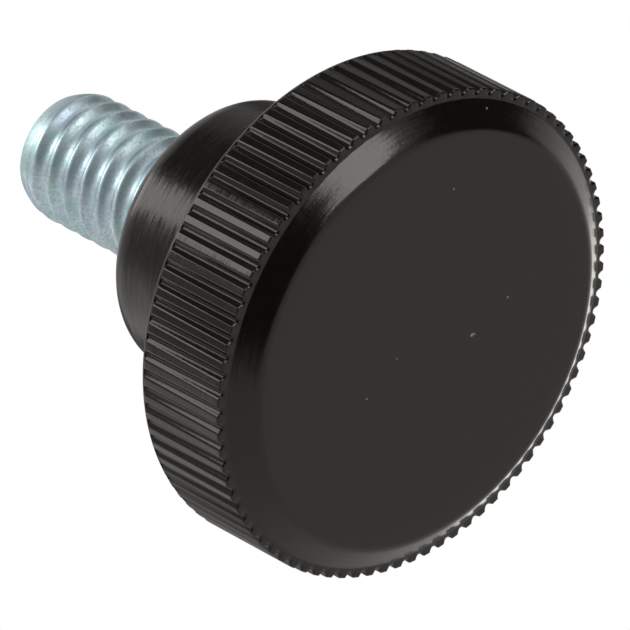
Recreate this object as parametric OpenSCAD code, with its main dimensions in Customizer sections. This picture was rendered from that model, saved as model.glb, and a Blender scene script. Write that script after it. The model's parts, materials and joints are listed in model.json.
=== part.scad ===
// Knurled thumb knob with a moulded-in threaded stud.
// The knob stands on its flat face: z = 0 is that face, and +Z runs up along the stud.

/* [Head] */
// Diameter over the knurl's crests
head_d = 30; // [26:0.1:36]
// Height of the head, from its flat face to its back
head_h = 7.9; // [6.5:0.1:12]
// Diameter of the flat face
face_d = 25.7; // [20:0.1:25.7]
// Height of the chamfer round the flat face
face_chamfer_h = 1.1; // [0.5:0.1:2]
// Height of the plain band behind the teeth
back_band_h = 0.45; // [0.2:0.05:1]

/* [Knurl] */
// Number of straight teeth round the head
teeth = 84; // [40:1:96]
// Depth of the grooves between the teeth
groove_depth = 0.3; // [0.2:0.01:0.6]
// Share of a tooth's pitch that is its flat crest
crest_share = 0.36; // [0.05:0.01:0.4]
// Share of a tooth's pitch that is the groove's floor
floor_share = 0.14; // [0.05:0.01:0.4]
// Width of the plain ring between the face chamfer's edge and the grooves
front_ring = 0.35; // [0.1:0.05:0.5]
// Step from the teeth's crests down to the plain band that closes the grooves behind
band_step = 0.1; // [0.05:0.05:0.25]
// How far that band narrows towards the head's back
band_taper = 0.5; // [0.1:0.1:0.8]

/* [Hub] */
// Diameter of the hub
hub_d = 16.9; // [14:0.1:20]
// Height of the hub's end above the flat face
hub_top = 18.3; // [14:0.1:24]
// Radius round the hub's end
hub_round_r = 1.8; // [0.4:0.1:2.4]
// Radius of the fillet between the hub and the head's back
hub_fillet_r = 0.8; // [0.2:0.1:1.5]
// Depth of the shallow relief round the stud in the hub's end
relief_depth = 0.4; // [0.2:0.1:1]
// Gap between the stud's thread and the wall of that relief
relief_gap = 0.5; // [0.3:0.1:0.8]

/* [Stud] */
// Major diameter of the stud's thread
stud_d = 7.94; // [6.8:0.01:9.6]
// Length of stud that stands out of the hub
stud_reach = 13; // [6:0.1:40]
// Length of the taper at the stud's tip
tip_taper_h = 1.6; // [0.5:0.1:3]
// Diameter of the stud's end face
tip_d = 6.8; // [4:0.1:6.8]
// Height of the stud's buried end above the flat face
stud_base = 4; // [2.5:0.1:5]

/* [Anchor] */
// Diameter of the stud's plain shank inside the hub
shank_d = 7; // [6:0.1:7.8]
// Length of the shank's foot, which carries two flats so that the stud can't turn
foot_h = 2.5; // [1.5:0.1:3]
// Distance across the foot's two flats
foot_flats = 5.8; // [5:0.1:5.9]
// Width of the groove above the foot, which stops the stud pulling out
neck_h = 2; // [1:0.1:3]
// Diameter of the shank inside that groove
neck_d = 5; // [4:0.1:5.8]

/* [Hidden] */
head_r = head_d / 2;
groove_r = head_r - groove_depth;
hub_r = hub_d / 2;
stud_r = stud_d / 2;
shank_r = shank_d / 2;
relief_r = stud_r + relief_gap;
stud_tip = hub_top + stud_reach;
tooth_angle = 360 / teeth;
teeth_top = head_h - back_band_h;
band_r = head_r - band_step;
// Room past a surface, so that a cut goes clean through
over = 1;
// Radius of the band's core, inside the grooves' floors
core_r = groove_r - over;
$fn = 180;

// Point at radius r and angle a
function polar(r, a) = [r * cos(a), r * sin(a)];

// Arc of radius r about the point [x, z], from angle a0 to angle a1
function arc(x, z, r, a0, a1, steps = 10) =
    [for (i = [0 : steps]) [x, z] + polar(r, a0 + (a1 - a0) * i / steps)];

// Outline of the knurl, four points to a tooth
function knurl_outline() =
    let (
        crest = tooth_angle * crest_share / 2,
        foot = tooth_angle * (1 - floor_share) / 2,
        corners = [[groove_r, -foot], [head_r, -crest], [head_r, crest], [groove_r, foot]]
    )
    [for (i = [0 : teeth - 1], c = corners) polar(c[0], c[1] + i * tooth_angle)];

// Disc with straight teeth
module knurled_disc() {
    translate([0, 0, face_chamfer_h])
        linear_extrude(teeth_top - face_chamfer_h)
            polygon(knurl_outline());
}

// Plain band behind the teeth, narrowing to the head's back, on a core inside the teeth
module back_band() {
    rotate_extrude()
        polygon([
            [0, teeth_top - over],
            [core_r, teeth_top - over],
            [core_r, teeth_top],
            [band_r, teeth_top],
            [band_r - band_taper, head_h],
            [0, head_h]
        ]);
}

// Flat face and the chamfer round it
module face_chamfer() {
    cylinder(h = face_chamfer_h, r1 = face_d / 2, r2 = groove_r - front_ring);
}

// Hub with a fillet at its foot, a rounded end and the relief round the stud
module hub() {
    rotate_extrude()
        polygon(concat(
            [[0, head_h - over], [hub_r + hub_fillet_r, head_h - over]],
            arc(hub_r + hub_fillet_r, head_h + hub_fillet_r, hub_fillet_r, 270, 180),
            arc(hub_r - hub_round_r, hub_top - hub_round_r, hub_round_r, 0, 90),
            [[relief_r, hub_top], [relief_r, hub_top - relief_depth], [0, hub_top - relief_depth]]
        ));
}

// The shank that the moulding grips, from its foot up to the height top
module shank(top) {
    difference() {
        translate([0, 0, stud_base])
            cylinder(h = top - stud_base, r = shank_r);
        // groove that stops the stud pulling out
        translate([0, 0, stud_base + foot_h])
            difference() {
                cylinder(h = neck_h, r = shank_r + over);
                cylinder(h = neck_h, r = neck_d / 2);
            }
        // two flats that stop it turning
        for (side = [-1, 1])
            translate([-shank_r - over, side * (foot_flats / 2 + shank_r) - shank_r, stud_base - over])
                cube([2 * (shank_r + over), 2 * shank_r, foot_h + over]);
    }
}

// The thread that stands out of the hub, at its major diameter, with its tapered tip
module thread() {
    translate([0, 0, hub_top])
        cylinder(h = stud_reach - tip_taper_h, r = stud_r);
    translate([0, 0, stud_tip - tip_taper_h])
        cylinder(h = tip_taper_h, r1 = stud_r, r2 = tip_d / 2);
}

module knob_head() {
    color("#2b2a2b")
        difference() {
            union() {
                face_chamfer();
                knurled_disc();
                back_band();
                hub();
            }
            shank(hub_top + over);
        }
}

module threaded_stud() {
    color("#a9bfc6")
        union() {
            shank(hub_top);
            thread();
        }
}

knob_head();
threaded_stud();
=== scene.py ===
import json
import math

import bpy
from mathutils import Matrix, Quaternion, Vector


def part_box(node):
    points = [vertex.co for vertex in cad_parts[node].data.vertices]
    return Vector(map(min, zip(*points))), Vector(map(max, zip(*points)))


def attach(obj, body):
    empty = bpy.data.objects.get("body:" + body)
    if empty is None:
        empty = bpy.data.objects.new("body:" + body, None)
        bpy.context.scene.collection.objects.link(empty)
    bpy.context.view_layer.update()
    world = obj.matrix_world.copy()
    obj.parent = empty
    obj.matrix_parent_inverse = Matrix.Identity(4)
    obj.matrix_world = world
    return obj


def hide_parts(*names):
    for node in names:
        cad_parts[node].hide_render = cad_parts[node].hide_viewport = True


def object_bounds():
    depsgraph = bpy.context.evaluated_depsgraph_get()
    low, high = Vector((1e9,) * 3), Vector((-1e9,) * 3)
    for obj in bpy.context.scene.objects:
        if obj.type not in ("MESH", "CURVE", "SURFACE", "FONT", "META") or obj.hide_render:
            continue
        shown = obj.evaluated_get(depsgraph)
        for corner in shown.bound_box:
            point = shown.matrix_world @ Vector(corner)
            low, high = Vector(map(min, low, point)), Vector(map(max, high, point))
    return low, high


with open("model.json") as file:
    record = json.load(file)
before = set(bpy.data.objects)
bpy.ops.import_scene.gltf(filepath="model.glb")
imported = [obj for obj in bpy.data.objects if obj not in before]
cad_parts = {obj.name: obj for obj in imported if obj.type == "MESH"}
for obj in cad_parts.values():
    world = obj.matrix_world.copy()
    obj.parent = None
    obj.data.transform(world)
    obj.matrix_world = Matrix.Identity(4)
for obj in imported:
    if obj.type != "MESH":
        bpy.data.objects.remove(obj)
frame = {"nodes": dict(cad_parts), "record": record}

# Knurled thumb knob: a black moulded head with a zinc-plated threaded stud.
# It stands on its flat face, z = 0, with +Z along the stud.

mm = 0.001
cadLow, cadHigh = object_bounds()
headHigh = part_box("knob_head")[1]
studLow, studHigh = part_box("threaded_stud")
slots = {m["slot"] for m in frame["record"]["materials"]}
print("frame loaded:", sorted(frame["nodes"]), "slots:", sorted(slots))


def toLinear(hexColour):
    # an sRGB hex such as "#a9bfc6" as linear red, green, blue and alpha
    parts = [int(hexColour[i:i + 2], 16) / 255 for i in (1, 3, 5)]
    return [p / 12.92 if p <= 0.04045 else ((p + 0.055) / 1.055) ** 2.4 for p in parts] + [1.0]


def addNode(tree, kind, links=None, **settings):
    # one node with its settings; a link's value is a node, a socket or a plain value
    node = tree.nodes.new(kind)
    for name, value in settings.items():
        setattr(node, name, value)
    for name, value in (links or {}).items():
        if isinstance(value, bpy.types.Node):
            value = value.outputs[0]
        if isinstance(value, bpy.types.NodeSocket):
            tree.links.new(value, node.inputs[name])
        else:
            node.inputs[name].default_value = value
    return node


def turned(name, profile, angles):
    # a closed turned mesh: profile is (radius, height) from the pole below to the pole above
    count = len(angles)
    rings = profile[1:-1]
    points = [(0, 0, profile[0][1])]
    points += [(r * math.cos(a), r * math.sin(a), z) for r, z in rings for a in angles]
    points.append((0, 0, profile[-1][1]))
    top = len(points) - 1
    faces = [(0, 1 + (j + 1) % count, 1 + j) for j in range(count)]
    for i in range(len(rings) - 1):
        low, high = 1 + i * count, 1 + (i + 1) * count
        for j in range(count):
            k = (j + 1) % count
            faces.append((low + j, low + k, high + k, high + j))
    last = 1 + (len(rings) - 1) * count
    faces += [(last + j, last + (j + 1) % count, top) for j in range(count)]
    mesh = bpy.data.meshes.new(name)
    mesh.from_pydata(points, [], faces)
    mesh.shade_smooth()
    blank = bpy.data.objects.new(name, mesh)
    bpy.context.scene.collection.objects.link(blank)
    return blank


def bend(corner, before, after, steps):
    # points of a smooth bend at a corner, from a point before it to a point after it
    out = []
    for i in range(steps + 1):
        t = i / steps
        out.append(tuple((1 - t) ** 2 * b + 2 * t * (1 - t) * c + t * t * a
                         for b, c, a in zip(before, corner, after)))
    return out


def roundArc(centre, radius, start, end, steps):
    # points on an arc in the profile, angles in degrees
    out = []
    for i in range(steps + 1):
        a = math.radians(start + (end - start) * i / steps)
        out.append((centre[0] + radius * math.cos(a), centre[1] + radius * math.sin(a)))
    return out


def newGroup(name, inputs):
    # a Geometry Nodes tree with named inputs; returns the tree, its input node and identifiers
    tree = bpy.data.node_groups.new(name, "GeometryNodeTree")
    ids = {}
    tree.interface.new_socket(name="Geometry", in_out="INPUT", socket_type="NodeSocketGeometry")
    for label, kind in inputs:
        socket = tree.interface.new_socket(name=label, in_out="INPUT", socket_type="NodeSocket" + kind)
        ids[label] = socket.identifier
    tree.interface.new_socket(name="Geometry", in_out="OUTPUT", socket_type="NodeSocketGeometry")
    return tree, addNode(tree, "NodeGroupInput"), ids


def roundTheAxis(tree, place):
    # a place's distance from the axis, its angle round it and its height
    xyz = addNode(tree, "ShaderNodeSeparateXYZ", {0: place})
    x, y, z = xyz.outputs["X"], xyz.outputs["Y"], xyz.outputs["Z"]
    xSquare = addNode(tree, "ShaderNodeMath", {0: x, 1: x}, operation="MULTIPLY")
    ySquare = addNode(tree, "ShaderNodeMath", {0: y, 1: y}, operation="MULTIPLY")
    both = addNode(tree, "ShaderNodeMath", {0: xSquare, 1: ySquare}, operation="ADD")
    radius = addNode(tree, "ShaderNodeMath", {0: both}, operation="SQRT")
    angle = addNode(tree, "ShaderNodeMath", {0: y, 1: x}, operation="ARCTAN2")
    return radius, angle, z


def fromCrest(tree, turns, offset):
    # how far a place lies from the middle of the nearest crest, as a share of their spacing
    shifted = addNode(tree, "ShaderNodeMath", {0: turns, 1: offset}, operation="ADD")
    part = addNode(tree, "ShaderNodeMath", {0: shifted}, operation="FRACT")
    offCrest = addNode(tree, "ShaderNodeMath", {0: part, 1: 0.5}, operation="SUBTRACT")
    return addNode(tree, "ShaderNodeMath", {0: offCrest}, operation="ABSOLUTE")


def easedFlank(tree, phase, crest, foot, crestSoftness, footSoftness):
    # 0 on the crest and 1 on the floor, rounded where the flank meets them
    flank = addNode(tree, "ShaderNodeMath", {
        0: addNode(tree, "ShaderNodeMath", {0: phase, 1: crest}, operation="SUBTRACT"),
        1: addNode(tree, "ShaderNodeMath", {0: foot, 1: crest}, operation="SUBTRACT")},
        operation="DIVIDE")
    offCrest = addNode(tree, "ShaderNodeMath", {0: flank, 1: 0.0, 2: crestSoftness}, operation="SMOOTH_MAX")
    return addNode(tree, "ShaderNodeMath", {0: offCrest, 1: 1.0, 2: footSoftness}, operation="SMOOTH_MIN")


def movedAndPainted(tree, given, radius, angle, height):
    # ends a tree: the points go to their new radius and height, and the mesh gets its material
    cosine = addNode(tree, "ShaderNodeMath", {0: angle}, operation="COSINE")
    sine = addNode(tree, "ShaderNodeMath", {0: angle}, operation="SINE")
    moved = addNode(tree, "ShaderNodeCombineXYZ", {
        "X": addNode(tree, "ShaderNodeMath", {0: radius, 1: cosine}, operation="MULTIPLY"),
        "Y": addNode(tree, "ShaderNodeMath", {0: radius, 1: sine}, operation="MULTIPLY"),
        "Z": height})
    cutMesh = addNode(tree, "GeometryNodeSetPosition", {
        "Geometry": given.outputs["Geometry"], "Position": moved})
    real = addNode(tree, "GeometryNodeRealizeInstances", {"Geometry": cutMesh})
    painted = addNode(tree, "GeometryNodeSetMaterial", {
        "Geometry": real, "Material": given.outputs["Material"]})
    addNode(tree, "NodeGroupOutput", {"Geometry": painted})


def shaped(blank, tree, ids, values, sharpFrom):
    # runs the tree on the blank, turns the result into a plain mesh and removes the modifier
    modifier = blank.modifiers.new(tree.name, "NODES")
    modifier.node_group = tree
    for label, value in values.items():
        modifier[ids[label]] = value
    result = bpy.data.meshes.new_from_object(
        blank.evaluated_get(bpy.context.evaluated_depsgraph_get()))
    blank.modifiers.remove(modifier)
    result.name = blank.name
    blank.data = result
    result.set_sharp_from_angle(angle=math.radians(sharpFrom))
    print(blank.name, "has", len(result.polygons), "faces")
    return blank


phenolic = {
    "resin": "#0a0908",
    "resinWorn": "#120e0c",      # a trace paler where the skin is polished
    "faceRoughness": 0.34,       # the flat face is moulded satin
    "skinRoughness": 0.14,       # chamfer, knurl and hub come from a polished mould
    "grain": 0.35 * mm,          # mottle in the moulding skin
    "turnMark": 0.16 * mm,       # spacing of the polishing marks round the hub and chamfer
    "turnStretch": 0.06,         # how quickly a mark changes along its length
    "turnTilt": 0.22,            # how far those marks tip the hub's surface
    "chamferTilt": 0.10,         # and the chamfer's
    "drawMark": 0.10 * mm,       # spacing of the draw marks along the teeth
    "drawStretch": 0.02,
    "drawTilt": 0.04,
    "grooveRoughness": 0.2,      # the grooves keep a rougher skin than the crests; their lower gloss below is painted shade
    "grooveShadeGloss": 0.45,
    "bandGloss": 0.2,            # and the plain band behind them duller still
}
dust = {
    # flecks lying on the moulding: place in mm, reach in mm
    "flecks": [((1.73, 3.17, 0), 0.15), ((1.86, 3.30, 0), 0.09), ((4.69, 4.24, 0), 0.09),
               ((8.08, -4.70, 0), 0.08), ((-4.62, -2.04, 0), 0.08), ((-1.77, -1.52, 0), 0.06),
               ((13.02, -4.86, 0.77), 0.10), ((-10.54, -10.32, 7.6), 0.18)],
    "colour": "#8f8a82",
    "roughness": 0.8,
    "ragged": 0.10 * mm,
    "raggedGrain": 0.12 * mm,
}


def dustFlecks(tree, place):
    # a few flecks of dust: 1 on a fleck, ragged at its edge, with the fleck's colour
    edge = addNode(tree, "ShaderNodeTexNoise", {
        "Vector": place, "Scale": 1 / dust["raggedGrain"], "Detail": 2.0})
    stray = addNode(tree, "ShaderNodeVectorMath", {
        0: addNode(tree, "ShaderNodeVectorMath", {
            0: edge.outputs["Color"], 1: (0.5, 0.5, 0.5)}, operation="SUBTRACT"),
        "Scale": dust["ragged"]}, operation="SCALE")
    ragged = addNode(tree, "ShaderNodeVectorMath", {0: place, 1: stray}, operation="ADD")
    total = 0.0
    for (x, y, z), reach in dust["flecks"]:
        away = addNode(tree, "ShaderNodeVectorMath", {
            0: ragged, 1: (x * mm, y * mm, z * mm)}, operation="DISTANCE").outputs["Value"]
        fleck = addNode(tree, "ShaderNodeMapRange", {
            "Value": away, "From Min": 0.5 * reach * mm, "From Max": reach * mm,
            "To Min": 1.0, "To Max": 0.0})
        total = addNode(tree, "ShaderNodeMath", {0: fleck, 1: total}, operation="MAXIMUM")
    return total, toLinear(dust["colour"])


def mouldedPhenolic(rimRadius, rimTop, ringHeight, teethTop):
    # moulded phenolic: a nearly black resin skin, glossy off the polished mould, so that all
    # its brightness is reflection, broken by fine marks round the hub and along the teeth
    material = bpy.data.materials.new("moulded black phenolic")
    material.use_nodes = True
    tree = material.node_tree
    tree.nodes.clear()
    place = addNode(tree, "ShaderNodeTexCoord").outputs["Object"]
    xyz = addNode(tree, "ShaderNodeSeparateXYZ", {0: place})
    flat = addNode(tree, "ShaderNodeVectorMath", {0: place, 1: (1, 1, 0)}, operation="MULTIPLY")
    radius = addNode(tree, "ShaderNodeVectorMath", {0: flat}, operation="LENGTH").outputs["Value"]
    across = addNode(tree, "ShaderNodeMath", {0: radius, 1: xyz.outputs["Z"]}, operation="ADD")
    # marks that run round the axis: quick across, slow along
    roundPlace = addNode(tree, "ShaderNodeCombineXYZ", {
        "X": addNode(tree, "ShaderNodeMath", {
            0: xyz.outputs["X"], 1: phenolic["turnStretch"]}, operation="MULTIPLY"),
        "Y": addNode(tree, "ShaderNodeMath", {
            0: xyz.outputs["Y"], 1: phenolic["turnStretch"]}, operation="MULTIPLY"),
        "Z": across})
    turnMarks = addNode(tree, "ShaderNodeTexNoise", {
        "Vector": roundPlace, "Scale": 1 / phenolic["turnMark"], "Detail": 3.0, "Roughness": 0.6})
    # marks along the teeth: quick round the rim, slow along the axis
    alongPlace = addNode(tree, "ShaderNodeVectorMath", {
        0: place, 1: (1, 1, phenolic["drawStretch"])}, operation="MULTIPLY")
    drawMarks = addNode(tree, "ShaderNodeTexNoise", {
        "Vector": alongPlace, "Scale": 1 / phenolic["drawMark"], "Detail": 3.0, "Roughness": 0.6})
    mottle = addNode(tree, "ShaderNodeTexNoise", {
        "Vector": place, "Scale": 1 / phenolic["grain"], "Detail": 4.0, "Roughness": 0.65})
    # where each finish is
    onFace = addNode(tree, "ShaderNodeMapRange", {
        "Value": xyz.outputs["Z"], "From Min": 0.01 * mm, "From Max": 0.1 * mm,
        "To Min": 1.0, "To Max": 0.0})
    onRim = addNode(tree, "ShaderNodeMapRange", {
        "Value": radius, "From Min": rimRadius - 0.75 * mm, "From Max": rimRadius - 0.6 * mm})
    # in the grooves: below the crests, between the plain ring and the band behind
    below = addNode(tree, "ShaderNodeMapRange", {
        "Value": radius, "From Min": rimRadius - 0.16 * mm, "From Max": rimRadius - 0.03 * mm,
        "To Min": 1.0, "To Max": 0.0})
    belowTop = addNode(tree, "ShaderNodeMapRange", {
        "Value": xyz.outputs["Z"], "From Min": teethTop - 0.1 * mm, "From Max": teethTop,
        "To Min": 1.0, "To Max": 0.0})
    aboveRing = addNode(tree, "ShaderNodeMapRange", {
        "Value": xyz.outputs["Z"], "From Min": ringHeight + 0.02 * mm, "From Max": ringHeight + 0.15 * mm})
    inRim = addNode(tree, "ShaderNodeMath", {0: belowTop, 1: aboveRing}, operation="MULTIPLY")
    inGroove = addNode(tree, "ShaderNodeMath", {0: below, 1: inRim}, operation="MULTIPLY")
    roughnessSkin = addNode(tree, "ShaderNodeMix", {
        "Factor": inGroove, "A": phenolic["skinRoughness"], "B": phenolic["grooveRoughness"]})
    roughness = addNode(tree, "ShaderNodeMix", {
        "Factor": onFace, "A": roughnessSkin, "B": phenolic["faceRoughness"]})
    # painted shade: the grooves reflect a little less, which darkens them as if shaded
    glossWithGrooveShade = addNode(tree, "ShaderNodeMapRange", {
        "Value": inGroove, "To Min": 0.5, "To Max": phenolic["grooveShadeGloss"]})
    # the plain band behind the teeth is duller
    pastTeeth = addNode(tree, "ShaderNodeMapRange", {
        "Value": xyz.outputs["Z"], "From Min": teethTop, "From Max": teethTop + 0.05 * mm})
    bandEnd = addNode(tree, "ShaderNodeMapRange", {
        "Value": xyz.outputs["Z"], "From Min": rimTop - 0.01 * mm, "From Max": rimTop + 0.04 * mm,
        "To Min": 1.0, "To Max": 0.0})
    glossHere = addNode(tree, "ShaderNodeMix", {
        "Factor": addNode(tree, "ShaderNodeMath", {0: pastTeeth, 1: bandEnd}, operation="MULTIPLY"),
        "A": glossWithGrooveShade, "B": phenolic["bandGloss"]})
    uneven = addNode(tree, "ShaderNodeMapRange", {
        "Value": mottle.outputs["Fac"], "From Min": 0.3, "From Max": 0.7, "To Min": -0.03, "To Max": 0.05})
    roughnessThere = addNode(tree, "ShaderNodeMath", {0: roughness, 1: uneven}, operation="ADD")
    onHub = addNode(tree, "ShaderNodeMapRange", {
        "Value": xyz.outputs["Z"], "From Min": rimTop, "From Max": rimTop + 0.2 * mm})
    streak = addNode(tree, "ShaderNodeMapRange", {
        "Value": turnMarks.outputs["Fac"], "From Min": 0.35, "From Max": 0.65,
        "To Min": -0.02, "To Max": 0.14})
    roughnessHere = addNode(tree, "ShaderNodeMath", {
        0: roughnessThere, 1: addNode(tree, "ShaderNodeMath", {0: streak, 1: onHub}, operation="MULTIPLY")},
        operation="ADD")
    # each mark is a narrow strip that tips the surface its own way
    turnTip = addNode(tree, "ShaderNodeVectorMath", {
        0: turnMarks.outputs["Color"], 1: (0.5, 0.5, 0.5)}, operation="SUBTRACT")
    drawTip = addNode(tree, "ShaderNodeVectorMath", {
        0: drawMarks.outputs["Color"], 1: (0.5, 0.5, 0.5)}, operation="SUBTRACT")
    offFace = addNode(tree, "ShaderNodeMath", {0: 1.0, 1: onFace}, operation="SUBTRACT")
    turnTilt = addNode(tree, "ShaderNodeMapRange", {
        "Value": onHub, "To Min": phenolic["chamferTilt"], "To Max": phenolic["turnTilt"]})
    drawTilt = addNode(tree, "ShaderNodeMath", {0: onRim, 1: phenolic["drawTilt"]}, operation="MULTIPLY")
    turnTiltHere = addNode(tree, "ShaderNodeMath", {0: turnTilt, 1: offFace}, operation="MULTIPLY")
    turnStep = addNode(tree, "ShaderNodeVectorMath", {0: turnTip, "Scale": turnTiltHere}, operation="SCALE")
    drawStep = addNode(tree, "ShaderNodeVectorMath", {0: drawTip, "Scale": drawTilt}, operation="SCALE")
    bothSteps = addNode(tree, "ShaderNodeVectorMath", {0: turnStep, 1: drawStep}, operation="ADD")
    surface = addNode(tree, "ShaderNodeNewGeometry").outputs["Normal"]
    tipped = addNode(tree, "ShaderNodeVectorMath", {
        0: addNode(tree, "ShaderNodeVectorMath", {0: surface, 1: bothSteps}, operation="ADD")},
        operation="NORMALIZE")
    bumpGrain = addNode(tree, "ShaderNodeBump", {
        "Strength": 0.4, "Distance": 0.01 * mm, "Height": mottle.outputs["Fac"], "Normal": tipped})
    colour = addNode(tree, "ShaderNodeMix", {
        "Factor": mottle.outputs["Fac"], "A": toLinear(phenolic["resin"]),
        "B": toLinear(phenolic["resinWorn"])}, data_type="RGBA")
    dusty, paleDust = dustFlecks(tree, place)
    dustyColour = addNode(tree, "ShaderNodeMix", {
        "Factor": dusty, "A": colour.outputs["Result"], "B": paleDust}, data_type="RGBA")
    dustyRoughness = addNode(tree, "ShaderNodeMix", {
        "Factor": dusty, "A": roughnessHere, "B": dust["roughness"]})
    shader = addNode(tree, "ShaderNodeBsdfPrincipled", {
        "Base Color": dustyColour.outputs["Result"], "Roughness": dustyRoughness, "IOR": 1.5,
        "Specular IOR Level": glossHere, "Normal": bumpGrain})
    addNode(tree, "ShaderNodeOutputMaterial", {"Surface": shader})
    return material


zinc = {
    "bright": "#ddf5fe",         # bright zinc with a clear blue passivate
    "green": "#ccedf2",          # the passivate's faint interference tints
    "violet": "#d2e6f8",
    "dull": "#8da1aa",
    "roughness": 0.40,
    "tintSize": 2.6 * mm,
    "patch": 0.8 * mm,           # where the passivate took more or less
    "patchDull": 0.4,
    "crystal": 0.18 * mm,        # the plating's fine uneven grain
    "crystalDull": 0.65,
    "rollMark": 0.10 * mm,       # marks that the rolling dies leave along the thread
}


def zincPlate():
    # bright zinc plate on rolled steel: a pale blue metal with faint green and violet tints,
    # softly patchy, with a fine grain and marks that run round with the thread
    material = bpy.data.materials.new("blue-white zinc plate")
    material.use_nodes = True
    tree = material.node_tree
    tree.nodes.clear()
    place = addNode(tree, "ShaderNodeTexCoord").outputs["Object"]
    tint = addNode(tree, "ShaderNodeTexNoise", {
        "Vector": place, "Scale": 1 / zinc["tintSize"], "Detail": 2.0, "Distortion": 0.6})
    ramp = addNode(tree, "ShaderNodeValToRGB", {0: tint.outputs["Fac"]})
    ramp.color_ramp.elements[0].position, ramp.color_ramp.elements[0].color = 0.36, toLinear(zinc["green"])
    ramp.color_ramp.elements[1].position, ramp.color_ramp.elements[1].color = 0.64, toLinear(zinc["violet"])
    ramp.color_ramp.elements.new(0.5).color = toLinear(zinc["bright"])
    crystals = addNode(tree, "ShaderNodeTexNoise", {
        "Vector": place, "Scale": 1 / zinc["crystal"], "Detail": 4.0, "Roughness": 0.65})
    along = addNode(tree, "ShaderNodeVectorMath", {0: place, 1: (0.08, 0.08, 1)}, operation="MULTIPLY")
    rolled = addNode(tree, "ShaderNodeTexNoise", {
        "Vector": along, "Scale": 1 / zinc["rollMark"], "Detail": 2.0})
    dullness = addNode(tree, "ShaderNodeMapRange", {
        "Value": crystals.outputs["Fac"], "From Min": 0.42, "From Max": 0.72,
        "To Max": zinc["crystalDull"]})
    patches = addNode(tree, "ShaderNodeTexNoise", {
        "Vector": place, "Scale": 1 / zinc["patch"], "Detail": 2.0, "Roughness": 0.5, "Distortion": 0.3})
    patchy = addNode(tree, "ShaderNodeMapRange", {
        "Value": patches.outputs["Fac"], "From Min": 0.38, "From Max": 0.70,
        "To Max": zinc["patchDull"]})
    dulled = addNode(tree, "ShaderNodeMath", {0: dullness, 1: patchy}, operation="MAXIMUM")
    colour = addNode(tree, "ShaderNodeMix", {
        "Factor": dulled, "A": ramp.outputs["Color"], "B": toLinear(zinc["dull"])}, data_type="RGBA")
    roughness = addNode(tree, "ShaderNodeMapRange", {
        "Value": crystals.outputs["Fac"], "From Min": 0.3, "From Max": 0.7,
        "To Min": zinc["roughness"] - 0.05, "To Max": zinc["roughness"] + 0.08})
    bump = addNode(tree, "ShaderNodeBump", {
        "Strength": 0.3, "Distance": 0.015 * mm, "Height": crystals.outputs["Fac"]})
    bumpRolled = addNode(tree, "ShaderNodeBump", {
        "Strength": 0.35, "Distance": 0.015 * mm, "Height": rolled.outputs["Fac"], "Normal": bump})
    shader = addNode(tree, "ShaderNodeBsdfPrincipled", {
        "Base Color": colour.outputs["Result"], "Metallic": 1.0, "Roughness": roughness,
        "Normal": bumpRolled})
    addNode(tree, "ShaderNodeOutputMaterial", {"Surface": shader})
    return material


head = {
    "faceRadius": 12.85 * mm,
    "chamferHeight": 1.1 * mm,
    "ringRadius": 14.35 * mm,      # inner edge of the plain ring in front of the teeth
    "ringFall": 0.03 * mm,         # the ring falls away this much towards the teeth
    "height": 7.9 * mm,
    "teethTop": 7.45 * mm,         # the teeth end here, and a plain band lies behind them
    "bandRadius": 14.95 * mm,
    "bandTaper": 0.5 * mm,
    "hubRadius": 8.45 * mm,
    "hubRound": 1.8 * mm,
    "hubFillet": 0.8 * mm,
    "reliefRadius": 4.47 * mm,
    "reliefDepth": 0.4 * mm,
    "teeth": 84,
    "grooveDepth": 0.29 * mm,      # at the front; the mould's draft leaves the grooves
    "backDepth": 0.18 * mm,        # shallower and narrower towards the back
    "crestShare": 0.37,
    "backCrestShare": 0.48,
    "floorShare": 0.18,
    "edgeSoftness": 0.13,
    "mouthRadius": 14.54 * mm,     # each groove opens in a short slope from here
    "mouthSlope": 0.75,
    "wander": 0.02 * mm,           # how far the moulded teeth stray from true
    "strays": 0.9 / mm,            # about one to a tooth, so that each tooth strays its own way
    "seed": 7.0,
    "sharpFrom": 62,               # degrees; edges turned further than this stay sharp
}
shank = {"radius": 3.5 * mm, "neckRadius": 2.5 * mm, "neckLow": 6.5 * mm, "neckHigh": 8.5 * mm}


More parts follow.
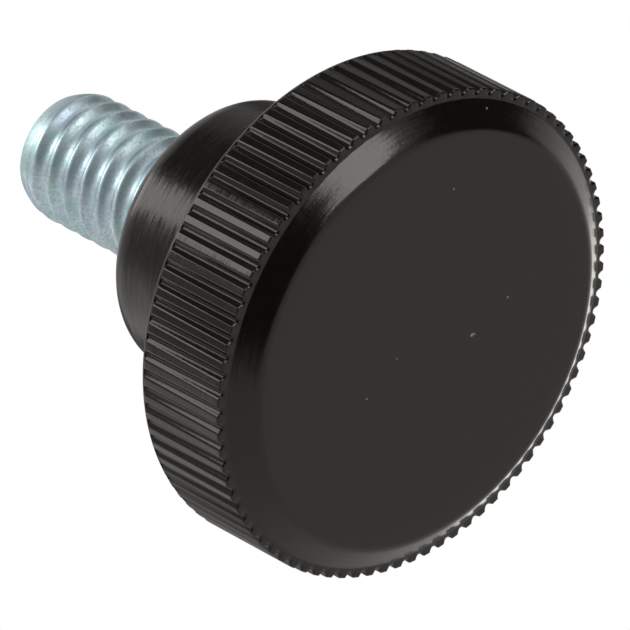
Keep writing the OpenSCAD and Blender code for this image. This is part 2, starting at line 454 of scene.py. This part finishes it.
def headProfile(rim, top):
    h, s = head, shank
    slope = h["chamferHeight"] / (h["ringRadius"] - h["faceRadius"])
    out = [(0, 0)] + [(x * mm, 0) for x in (5, 9, 11.5)]
    out += bend((h["faceRadius"], 0), (h["faceRadius"] - 0.3 * mm, 0),
                (h["faceRadius"] + 0.3 * mm, 0.3 * mm * slope), 5)
    out += [(h["ringRadius"] - 0.6 * mm, h["chamferHeight"] - 0.6 * mm * slope)]
    out += bend((h["ringRadius"], h["chamferHeight"]),
                (h["ringRadius"] - 0.06 * mm, h["chamferHeight"] - 0.06 * mm * slope),
                (h["ringRadius"] + 0.06 * mm, h["chamferHeight"] + 0.09 * h["ringFall"]), 3)
    fall = h["chamferHeight"] + h["ringFall"]
    out += [(h["ringRadius"] + 0.3 * mm, h["chamferHeight"] + 0.45 * h["ringFall"])]
    out += bend((rim, fall), (rim - 0.16 * mm, fall - 0.2 * h["ringFall"]), (rim, fall + 0.14 * mm), 6)
    out += [(rim, z * mm) for z in (1.5, 2.2, 3.0, 3.8, 4.6, 5.4, 6.2, 6.9)]
    out += bend((rim, h["teethTop"]), (rim, h["teethTop"] - 0.08 * mm), (h["bandRadius"], h["teethTop"]), 3)
    out += bend((h["bandRadius"] - 0.1 * mm, h["height"] - 0.05 * mm),
                (h["bandRadius"], h["teethTop"] + 0.02 * mm),
                (h["bandRadius"] - h["bandTaper"] - 0.1 * mm, h["height"]), 6)
    out += [(12 * mm, h["height"])]
    out += roundArc((h["hubRadius"] + h["hubFillet"], h["height"] + h["hubFillet"]),
                    h["hubFillet"], 270, 180, 7)
    out += [(h["hubRadius"], 12 * mm)]
    out += roundArc((h["hubRadius"] - h["hubRound"], top - h["hubRound"]), h["hubRound"], 0, 90, 10)
    out += [(h["reliefRadius"] + 0.08 * mm, top), (h["reliefRadius"], top - 0.08 * mm)]
    out += [(h["reliefRadius"], top - h["reliefDepth"])]
    # the socket that grips the stud
    out += [(s["radius"], top - h["reliefDepth"]), (s["radius"], s["neckHigh"]),
            (s["neckRadius"], s["neckHigh"]), (s["neckRadius"], s["neckLow"]),
            (s["radius"], s["neckLow"]), (s["radius"], studLow.z), (0, studLow.z)]
    return out


def toothAngles():
    # columns close together where a tooth's edges turn
    half = (0.075, 0.12, 0.155, 0.185, 0.29, 0.40, 0.445)
    shares = [-s for s in reversed(half)] + list(half)
    return [(i + s) * 2 * math.pi / head["teeth"] for i in range(head["teeth"]) for s in shares]


def knurlCut():
    # moves the blank's rim inwards between the teeth
    tree, given, ids = newGroup("knurl cut", [
        ("Crest Radius", "Float"), ("Front Depth", "Float"), ("Back Depth", "Float"),
        ("Teeth", "Float"), ("Front Crest Share", "Float"), ("Back Crest Share", "Float"),
        ("Floor Share", "Float"), ("Edge Softness", "Float"), ("Ring Radius", "Float"),
        ("Band Radius", "Float"), ("Front", "Float"), ("Back", "Float"), ("Mouth Radius", "Float"),
        ("Mouth Slope", "Float"), ("Wander", "Float"), ("Seed", "Float"), ("Material", "Material")])

    knurl = given.outputs
    place = addNode(tree, "GeometryNodeInputPosition")
    radius, angle, z = roundTheAxis(tree, place)
    turn = addNode(tree, "ShaderNodeMath", {0: angle, 1: 2 * math.pi}, operation="DIVIDE")
    turns = addNode(tree, "ShaderNodeMath", {0: turn, 1: knurl["Teeth"]}, operation="MULTIPLY")
    phase = fromCrest(tree, turns, 0.5)
    # each tooth strays a little, and its walls a little more along their length
    alongPlace = addNode(tree, "ShaderNodeVectorMath", {0: place, 1: (1, 1, 0.1)}, operation="MULTIPLY")
    stray = addNode(tree, "ShaderNodeTexNoise", {
        "Vector": alongPlace, "W": knurl["Seed"], "Scale": head["strays"], "Detail": 2.0},
        noise_dimensions="4D")
    eitherWay = addNode(tree, "ShaderNodeMath", {0: stray.outputs["Fac"], 1: 0.5}, operation="SUBTRACT")
    strayHere = addNode(tree, "ShaderNodeMath", {0: eitherWay, 1: knurl["Wander"]}, operation="MULTIPLY")
    # the draft: crests widen and grooves rise from the front to the back
    draft = addNode(tree, "ShaderNodeMapRange", {
        "Value": z, "From Min": knurl["Front"], "From Max": knurl["Back"]})
    crestShare = addNode(tree, "ShaderNodeMix", {
        "Factor": draft, "A": knurl["Front Crest Share"], "B": knurl["Back Crest Share"]})
    depth = addNode(tree, "ShaderNodeMix", {
        "Factor": draft, "A": knurl["Front Depth"], "B": knurl["Back Depth"]})
    crest = addNode(tree, "ShaderNodeMath", {0: crestShare, 1: 0.5}, operation="MULTIPLY")
    halfFloor = addNode(tree, "ShaderNodeMath", {0: knurl["Floor Share"], 1: 0.5}, operation="MULTIPLY")
    foot = addNode(tree, "ShaderNodeMath", {0: 0.5, 1: halfFloor}, operation="SUBTRACT")
    eased = easedFlank(tree, phase, crest, foot, knurl["Edge Softness"], knurl["Edge Softness"])
    depthStray = addNode(tree, "ShaderNodeMath", {0: strayHere, 1: 1.5}, operation="MULTIPLY")
    depthHere = addNode(tree, "ShaderNodeMath", {0: depth, 1: depthStray}, operation="ADD")
    cut = addNode(tree, "ShaderNodeMath", {0: eased, 1: depthHere}, operation="MULTIPLY")
    halfStray = addNode(tree, "ShaderNodeMath", {0: strayHere, 1: 0.5}, operation="MULTIPLY")
    crestStray = addNode(tree, "ShaderNodeMath", {0: halfStray}, operation="ABSOLUTE")
    inwards = addNode(tree, "ShaderNodeMath", {0: cut, 1: crestStray}, operation="ADD")
    toothRadius = addNode(tree, "ShaderNodeMath", {
        0: knurl["Crest Radius"], 1: inwards}, operation="SUBTRACT")
    # the ends of the teeth are squeezed so that their edges follow the outline
    behind = addNode(tree, "ShaderNodeMath", {0: draft, 1: 0.5}, operation="GREATER_THAN")
    plain = addNode(tree, "ShaderNodeMix", {
        "Factor": behind, "A": knurl["Ring Radius"], "B": knurl["Band Radius"]})
    share = addNode(tree, "ShaderNodeMath", {
        0: addNode(tree, "ShaderNodeMath", {0: toothRadius, 1: plain}, operation="SUBTRACT"),
        1: addNode(tree, "ShaderNodeMath", {0: knurl["Crest Radius"], 1: plain}, operation="SUBTRACT")},
        operation="DIVIDE")
    overPlain = addNode(tree, "ShaderNodeMath", {0: radius, 1: plain}, operation="SUBTRACT")
    past = addNode(tree, "ShaderNodeMath", {0: overPlain, 1: 0.0}, operation="MAXIMUM")
    newRadius = addNode(tree, "ShaderNodeMath", {
        0: addNode(tree, "ShaderNodeMath", {0: radius, 1: plain}, operation="MINIMUM"),
        1: addNode(tree, "ShaderNodeMath", {0: past, 1: share}, operation="MULTIPLY")},
        operation="ADD")
    # each groove opens in a short slope at its front end
    overMouth = addNode(tree, "ShaderNodeMath", {
        0: newRadius, 1: knurl["Mouth Radius"]}, operation="SUBTRACT")
    pastMouth = addNode(tree, "ShaderNodeMath", {0: overMouth, 1: 0.0}, operation="MAXIMUM")
    slopeHere = addNode(tree, "ShaderNodeMath", {0: eased, 1: knurl["Mouth Slope"]}, operation="MULTIPLY")
    mouthRise = addNode(tree, "ShaderNodeMath", {0: pastMouth, 1: slopeHere}, operation="MULTIPLY")
    mouthHeight = addNode(tree, "ShaderNodeMath", {0: knurl["Front"], 1: mouthRise}, operation="ADD")
    newHeight = addNode(tree, "ShaderNodeMath", {0: z, 1: mouthHeight}, operation="MAXIMUM")
    atMouth = addNode(tree, "ShaderNodeMath", {
        0: radius, 1: knurl["Mouth Radius"]}, operation="GREATER_THAN")
    height = addNode(tree, "ShaderNodeMix", {"Factor": atMouth, "A": z, "B": newHeight})
    movedAndPainted(tree, given, newRadius, angle, height)
    return tree, ids


phenolicSkin = mouldedPhenolic(headHigh.x, head["height"], head["chamferHeight"], head["teethTop"])
headPiece = turned("head", headProfile(headHigh.x, headHigh.z), toothAngles())
knurlTree, knurlIds = knurlCut()
shaped(headPiece, knurlTree, knurlIds, {
    "Crest Radius": headHigh.x, "Front Depth": head["grooveDepth"], "Back Depth": head["backDepth"],
    "Teeth": float(head["teeth"]), "Front Crest Share": head["crestShare"],
    "Back Crest Share": head["backCrestShare"], "Floor Share": head["floorShare"],
    "Edge Softness": head["edgeSoftness"], "Ring Radius": head["ringRadius"],
    "Band Radius": head["bandRadius"], "Front": head["chamferHeight"], "Back": head["teethTop"],
    "Mouth Radius": head["mouthRadius"], "Mouth Slope": head["mouthSlope"], "Wander": head["wander"],
    "Seed": head["seed"], "Material": phenolicSkin}, head["sharpFrom"])
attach(headPiece, "root")
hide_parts("knob_head")
print("head made")


stud = {
    "pitch": 25.4 * mm / 18,       # 18 threads to the inch
    "threadDepth": 0.53 * mm,
    "crestShare": 0.10,
    "rootShare": 0.30,
    "crestSoftness": 0.1,
    "rootSoftness": 0.6,           # rolled roots are round
    "startShift": 0.52 * mm,       # where the thread's crest lies along the stud
    "taper": 1.6 * mm,
    "tipRadius": 3.4 * mm,
    "fadeLength": 1.6 * mm,        # how fast the thread runs out on the taper
    "columns": 120,
    "rowsPerPitch": 20,
    "taperRows": 26,
    "taperSwell": 1.6,             # 1 is a straight cone
    "sharpFrom": 50,
}


def studProfile(radius, base, tip, top):
    s = shank
    start = top - 0.05 * mm
    out = [(0, base), (s["radius"], base), (s["radius"], s["neckLow"]), (s["neckRadius"], s["neckLow"]),
           (s["neckRadius"], s["neckHigh"]), (s["radius"], s["neckHigh"]),
           (s["radius"], start), (radius - 0.1 * mm, start)]
    step = stud["pitch"] / stud["rowsPerPitch"]
    full = tip - stud["taper"]
    z = start + step
    while z < full:
        out.append((radius, z))
        z += step
    # the tip's taper swells a little and turns over into the end face
    for i in range(stud["taperRows"]):
        t = i / stud["taperRows"]
        out.append((radius - (radius - stud["tipRadius"]) * t ** stud["taperSwell"],
                    full + (tip - full) * t))
    out += bend((stud["tipRadius"], tip), (stud["tipRadius"] + 0.03 * mm, tip - 0.06 * mm),
                (stud["tipRadius"] - 0.15 * mm, tip), 3)
    out += [(2.2 * mm, tip), (1.1 * mm, tip), (0, tip)]
    return out


def threadCut():
    # cuts a right-handed thread into the blank, running out at both ends
    tree, given, ids = newGroup("thread cut", [
        ("Major Radius", "Float"), ("Pitch", "Float"), ("Depth", "Float"), ("Crest Share", "Float"),
        ("Root Share", "Float"), ("Crest Softness", "Float"), ("Root Softness", "Float"),
        ("Start", "Float"), ("End", "Float"), ("Fade", "Float"), ("Shift", "Float"),
        ("Material", "Material")])

    thread = given.outputs
    radius, angle, z = roundTheAxis(tree, addNode(tree, "GeometryNodeInputPosition"))
    risen = addNode(tree, "ShaderNodeMath", {0: z, 1: thread["Shift"]}, operation="SUBTRACT")
    climb = addNode(tree, "ShaderNodeMath", {
        0: addNode(tree, "ShaderNodeMath", {0: risen, 1: thread["Pitch"]}, operation="DIVIDE"),
        1: addNode(tree, "ShaderNodeMath", {0: angle, 1: 2 * math.pi}, operation="DIVIDE")},
        operation="SUBTRACT")
    # the whole turns in the offset keep the climb above 0
    phase = addNode(tree, "ShaderNodeMath", {0: fromCrest(tree, climb, 100.5), 1: 2.0}, operation="MULTIPLY")
    root = addNode(tree, "ShaderNodeMath", {0: 1.0, 1: thread["Root Share"]}, operation="SUBTRACT")
    eased = easedFlank(tree, phase, thread["Crest Share"], root, thread["Crest Softness"],
                       thread["Root Softness"])
    fadeShort = addNode(tree, "ShaderNodeMath", {0: thread["Fade"], 1: 0.3}, operation="MULTIPLY")
    fadeIn = addNode(tree, "ShaderNodeMapRange", {
        "Value": z, "From Min": thread["Start"],
        "From Max": addNode(tree, "ShaderNodeMath", {0: thread["Start"], 1: fadeShort}, operation="ADD")},
        interpolation_type="SMOOTHSTEP")
    fadeOut = addNode(tree, "ShaderNodeMapRange", {
        "Value": z, "From Min": thread["End"],
        "From Max": addNode(tree, "ShaderNodeMath", {
            0: thread["End"], 1: thread["Fade"]}, operation="SUBTRACT")},
        interpolation_type="SMOOTHSTEP")
    fade = addNode(tree, "ShaderNodeMath", {0: fadeIn, 1: fadeOut}, operation="MULTIPLY")
    depthHere = addNode(tree, "ShaderNodeMath", {0: thread["Depth"], 1: fade}, operation="MULTIPLY")
    cut = addNode(tree, "ShaderNodeMath", {0: eased, 1: depthHere}, operation="MULTIPLY")
    threadRadius = addNode(tree, "ShaderNodeMath", {
        0: thread["Major Radius"], 1: cut}, operation="SUBTRACT")
    cutRadius = addNode(tree, "ShaderNodeMath", {0: radius, 1: threadRadius}, operation="MINIMUM")
    movedAndPainted(tree, given, cutRadius, angle, z)
    return tree, ids


zincSkin = zincPlate()
studPiece = turned("stud", studProfile(studHigh.x, studLow.z, studHigh.z, headHigh.z),
                   [2 * math.pi * i / stud["columns"] for i in range(stud["columns"])])
threadTree, threadIds = threadCut()
shaped(studPiece, threadTree, threadIds, {
    "Major Radius": studHigh.x, "Pitch": stud["pitch"], "Depth": stud["threadDepth"],
    "Crest Share": stud["crestShare"], "Root Share": stud["rootShare"],
    "Crest Softness": stud["crestSoftness"], "Root Softness": stud["rootSoftness"],
    "Start": headHigh.z - 0.05 * mm, "End": studHigh.z - 0.5 * mm, "Fade": stud["fadeLength"],
    "Shift": stud["startShift"], "Material": zincSkin}, stud["sharpFrom"])
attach(studPiece, "root")
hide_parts("threaded_stud")
print("stud made")


room = {
    "floorSize": 0.9,
    "floorDrop": 0.1 * mm,   # the paper lies this far below the knob's face
    "paper": "#f4f4f2",
    "paperPale": "#ffffff",
    "paperTooth": 0.8 * mm,
    "lampDistance": 0.6,
    "wallTint": "#fffaf5",    # the walls and lamps are a trace warm
}


def seamlessPaper():
    # matt white paper with a faint tooth; it is only seen from above, and lets light through
    # from below, where the knob's face is lit
    material = bpy.data.materials.new("matt white paper")
    material.use_nodes = True
    tree = material.node_tree
    tree.nodes.clear()
    place = addNode(tree, "ShaderNodeTexCoord").outputs["Object"]
    tooth = addNode(tree, "ShaderNodeTexNoise", {
        "Vector": place, "Scale": 1 / room["paperTooth"], "Detail": 3.0})
    colour = addNode(tree, "ShaderNodeMix", {
        "Factor": tooth.outputs["Fac"], "A": toLinear(room["paper"]), "B": toLinear(room["paperPale"])},
        data_type="RGBA")
    paper = addNode(tree, "ShaderNodeBsdfDiffuse", {"Color": colour.outputs["Result"]})
    clear = addNode(tree, "ShaderNodeBsdfTransparent")
    below = addNode(tree, "ShaderNodeNewGeometry").outputs["Backfacing"]
    mix = addNode(tree, "ShaderNodeMixShader", {0: below, 1: paper, 2: clear})
    addNode(tree, "ShaderNodeOutputMaterial", {"Surface": mix})
    return material


floorMesh = bpy.data.meshes.new("floor")
half = room["floorSize"] / 2
floorMesh.from_pydata([(x, y, cadLow.z - room["floorDrop"]) for x, y in
                       ((-half, -half), (half, -half), (half, half), (-half, half))], [], [(0, 1, 2, 3)])
floorMesh.materials.append(seamlessPaper())
floor = bpy.data.objects.new("floor", floorMesh)
bpy.context.scene.collection.objects.link(floor)
floor.visible_diffuse = floor.visible_glossy = floor.visible_shadow = False

view = {
    "azimuth": -3.46,      # degrees; 0 looks along +Y
    "elevation": -40.41,   # from below, because the knob stands on its face
    "roll": -62.07,
    "distance": 0.7974,
    "aim": (-1.90 * mm, -4.00 * mm, 4.83 * mm),
    "lens": 800.0,         # far off with a long lens, so the teeth stay nearly parallel
}


def placeCamera():
    data = bpy.data.cameras.new("camera")
    data.lens, data.sensor_width = view["lens"], 36.0
    data.clip_start, data.clip_end = 0.01, 10.0
    camera = bpy.data.objects.new("camera", data)
    bpy.context.scene.collection.objects.link(camera)
    a, e = math.radians(view["azimuth"]), math.radians(view["elevation"])
    back = Vector((math.sin(a) * math.cos(e), -math.cos(a) * math.cos(e), math.sin(e)))
    camera.location = Vector(view["aim"]) + back * view["distance"]
    camera.rotation_mode = "QUATERNION"
    camera.rotation_quaternion = (-back).to_track_quat("-Z", "Y") @ Quaternion(
        (0, 0, 1), math.radians(view["roll"]))
    bpy.context.scene.camera = camera


def towards(azimuth, elevation):
    # the direction at that bearing, from +Y towards +X, and height
    a, e = math.radians(azimuth), math.radians(elevation)
    return Vector((math.sin(a) * math.cos(e), math.cos(a) * math.cos(e), math.sin(e)))


softboxes = [
    # bearing, height, and width and length in degrees of sky
    {"name": "key softbox", "azimuth": 109, "elevation": -55, "width": 20, "length": 26, "brightness": 3.8},
    {"name": "rim softbox", "azimuth": -177, "elevation": 46, "width": 20, "length": 80, "brightness": 2.7},
]
studioWalls = [
    # darker and lighter parts of the studio: bearing, height, inner and outer reach, brightness
    {"azimuth": -165, "elevation": -66, "inner": 14, "outer": 34, "brightness": 0.03},
    {"azimuth": 60, "elevation": -28, "inner": 16, "outer": 29, "brightness": 0.04},
    {"azimuth": 18, "elevation": 8, "inner": 8, "outer": 24, "brightness": 0.85},
    {"azimuth": 9, "elevation": 25, "inner": 8, "outer": 16, "brightness": 1.75},
    {"azimuth": -28, "elevation": 42, "inner": 9, "outer": 21, "brightness": 0.18},
    {"azimuth": 35, "elevation": 42, "inner": 6, "outer": 14, "brightness": 0.20},
    {"azimuth": -80, "elevation": 40, "inner": 12, "outer": 27, "brightness": 0.95},
    {"azimuth": -134, "elevation": 40, "inner": 6, "outer": 16, "brightness": 0.36},
    {"azimuth": 180, "elevation": 66, "inner": 6, "outer": 16, "brightness": 0.08},
    {"azimuth": 150, "elevation": 40, "inner": 12, "outer": 20, "brightness": 0.10},
    {"azimuth": 120, "elevation": 40, "inner": 10, "outer": 22, "brightness": 0.12},
    {"azimuth": 96, "elevation": 40, "inner": 6, "outer": 16, "brightness": 0.30},
    {"azimuth": 76, "elevation": 40, "inner": 8, "outer": 18, "brightness": 0.42},
    {"azimuth": 48, "elevation": 40, "inner": 6, "outer": 16, "brightness": 0.12},
]
studioGrey = 0.575


def hangSoftbox(box):
    distance = room["lampDistance"]
    data = bpy.data.lights.new(box["name"], "AREA")
    data.shape = "RECTANGLE"
    data.size = 2 * distance * math.tan(math.radians(box["width"] / 2))
    data.size_y = 2 * distance * math.tan(math.radians(box["length"] / 2))
    data.color = toLinear(room["wallTint"])[:3]
    data.energy = box["brightness"] * math.pi * data.size * data.size_y
    light = bpy.data.objects.new(box["name"], data)
    bpy.context.scene.collection.objects.link(light)
    way = towards(box["azimuth"], box["elevation"])
    light.location = Vector((0, 0, 10 * mm)) + way * distance
    light.rotation_mode = "QUATERNION"
    light.rotation_quaternion = (-way).to_track_quat("-Z", "Y")
    light.visible_camera = False


def paintStudio():
    # a plain white backdrop for the camera, and soft grey walls for what the knob reflects
    world = bpy.data.worlds.new("studio")
    world.use_nodes = True
    bpy.context.scene.world = world
    tree = world.node_tree
    tree.nodes.clear()
    way = addNode(tree, "ShaderNodeTexCoord").outputs["Generated"]
    level = None
    for wall in studioWalls:
        near = addNode(tree, "ShaderNodeVectorMath", {
            0: way, 1: towards(wall["azimuth"], wall["elevation"])}, operation="DOT_PRODUCT")
        reach = addNode(tree, "ShaderNodeMapRange", {
            "Value": near.outputs["Value"],
            "From Min": math.cos(math.radians(wall["outer"])),
            "From Max": math.cos(math.radians(wall["inner"]))}, interpolation_type="SMOOTHSTEP")
        level = addNode(tree, "ShaderNodeMix", {
            "Factor": reach, "A": level.outputs["Result"] if level else studioGrey,
            "B": wall["brightness"]})
    walls = addNode(tree, "ShaderNodeBackground", {
        "Color": toLinear(room["wallTint"]), "Strength": level.outputs["Result"]})
    white = addNode(tree, "ShaderNodeBackground", {"Color": (1, 1, 1, 1), "Strength": 1.0})
    seen = addNode(tree, "ShaderNodeLightPath").outputs["Is Camera Ray"]
    mix = addNode(tree, "ShaderNodeMixShader", {0: seen, 1: walls, 2: white})
    addNode(tree, "ShaderNodeOutputWorld", {"Surface": mix})


placeCamera()
for box in softboxes:
    hangSoftbox(box)
paintStudio()
bpy.context.scene.view_settings.view_transform = "Standard"
print("floor, camera and light made")
